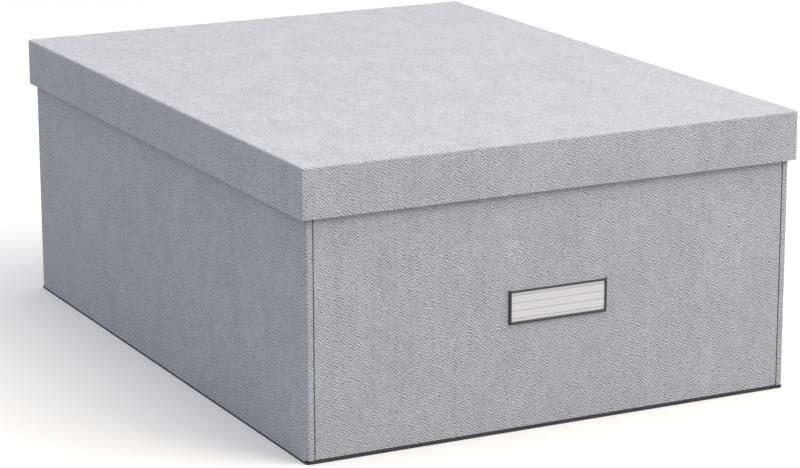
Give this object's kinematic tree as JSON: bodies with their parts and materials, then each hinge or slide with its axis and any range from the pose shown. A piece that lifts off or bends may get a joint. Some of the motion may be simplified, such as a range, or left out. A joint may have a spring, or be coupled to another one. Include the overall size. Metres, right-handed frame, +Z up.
{
  "type": "storage box with lid",
  "caption": "Large rectangular storage box of paper-covered board with a lift-off lid, fold-down end panels held by press studs, and a label holder on the front.",
  "frame": {"origin": "on the floor under the middle of the box", "axes": "+Z up, +Y towards the back, so that the label holder faces -Y"},
  "size_m": [0.43, 0.57, 0.227],
  "materials": {
    "linen_paper": "matte",
    "dark_paper": "matte",
    "lining_paper": "matte",
    "grey_board": "matte",
    "card_stock": "matte",
    "label_metal": "satin",
    "stud_metal": "satin"
  },
  "bodies": {
    "box": {"base_sole_board": "grey_board", "base_board": "grey_board", "base_cover": "dark_paper", "base_lining": "lining_paper", "left_side_board": "grey_board", "left_side_cover": "linen_paper", "left_side_lining": "lining_paper", "right_side_board": "grey_board", "right_side_cover": "linen_paper", "right_side_lining": "lining_paper", "front_left_corner_strip": "grey_board", "front_right_corner_strip": "grey_board", "back_left_corner_strip": "grey_board", "back_right_corner_strip": "grey_board", "front_left_snap_cap": "stud_metal", "front_right_snap_cap": "stud_metal", "back_left_snap_cap": "stud_metal", "back_right_snap_cap": "stud_metal", "front_left_snap_socket": "stud_metal", "front_right_snap_socket": "stud_metal", "back_left_snap_socket": "stud_metal", "back_right_snap_socket": "stud_metal"},
    "front_panel": {"front_panel_board": "grey_board", "front_panel_cover": "linen_paper", "front_panel_lining": "lining_paper", "label_frame": "label_metal"},
    "label": {"label_card": "card_stock"},
    "front_left_flap": {"front_left_flap_board": "grey_board", "front_left_flap_cover": "linen_paper", "front_left_snap_stud": "stud_metal", "front_left_snap_post": "stud_metal"},
    "front_right_flap": {"front_right_flap_board": "grey_board", "front_right_flap_cover": "linen_paper", "front_right_snap_stud": "stud_metal", "front_right_snap_post": "stud_metal"},
    "back_panel": {"back_panel_board": "grey_board", "back_panel_cover": "linen_paper", "back_panel_lining": "lining_paper"},
    "back_left_flap": {"back_left_flap_board": "grey_board", "back_left_flap_cover": "linen_paper", "back_left_snap_stud": "stud_metal", "back_left_snap_post": "stud_metal"},
    "back_right_flap": {"back_right_flap_board": "grey_board", "back_right_flap_cover": "linen_paper", "back_right_snap_stud": "stud_metal", "back_right_snap_post": "stud_metal"},
    "lid": {"lid_top_board": "grey_board", "lid_front_skirt_board": "grey_board", "lid_back_skirt_board": "grey_board", "lid_left_skirt_board": "grey_board", "lid_right_skirt_board": "grey_board", "lid_cover": "linen_paper", "lid_lining": "lining_paper"}
  },
  "joints": [
    {"name": "lid_lift", "type": "slide", "parent": "box", "child": "lid", "axis": [0, 0, 1], "range_m": [0, 0.24]},
    {"name": "label_card_slide", "type": "slide", "parent": "front_panel", "child": "label", "axis": [0, 0, 1], "range_m": [0, 0.028]},
    {"name": "front_panel_fold", "type": "hinge", "parent": "box", "child": "front_panel", "pos_m": [0, -0.2775, 0.00765], "axis": [-1, 0, 0], "range_deg": [0, 90]},
    {"name": "front_left_flap_fold", "type": "hinge", "parent": "front_panel", "child": "front_left_flap", "pos_m": [-0.2038, -0.2775, 0.1], "axis": [0, 0, -1], "range_deg": [0, 90]},
    {"name": "front_right_flap_fold", "type": "hinge", "parent": "front_panel", "child": "front_right_flap", "pos_m": [0.2038, -0.2775, 0.1], "axis": [0, 0, 1], "range_deg": [0, 90]},
    {"name": "back_panel_fold", "type": "hinge", "parent": "box", "child": "back_panel", "pos_m": [0, 0.2775, 0.00765], "axis": [1, 0, 0], "range_deg": [0, 90]},
    {"name": "back_left_flap_fold", "type": "hinge", "parent": "back_panel", "child": "back_left_flap", "pos_m": [-0.2038, 0.2775, 0.1], "axis": [0, 0, 1], "range_deg": [0, 90]},
    {"name": "back_right_flap_fold", "type": "hinge", "parent": "back_panel", "child": "back_right_flap", "pos_m": [0.2038, 0.2775, 0.1], "axis": [0, 0, -1], "range_deg": [0, 90]}
  ],
  "couplings": [
    {"joint": "front_left_flap_fold", "follows": "front_panel_fold", "ratio": 1},
    {"joint": "front_right_flap_fold", "follows": "front_panel_fold", "ratio": 1},
    {"joint": "back_left_flap_fold", "follows": "back_panel_fold", "ratio": 1},
    {"joint": "back_right_flap_fold", "follows": "back_panel_fold", "ratio": 1}
  ]
}
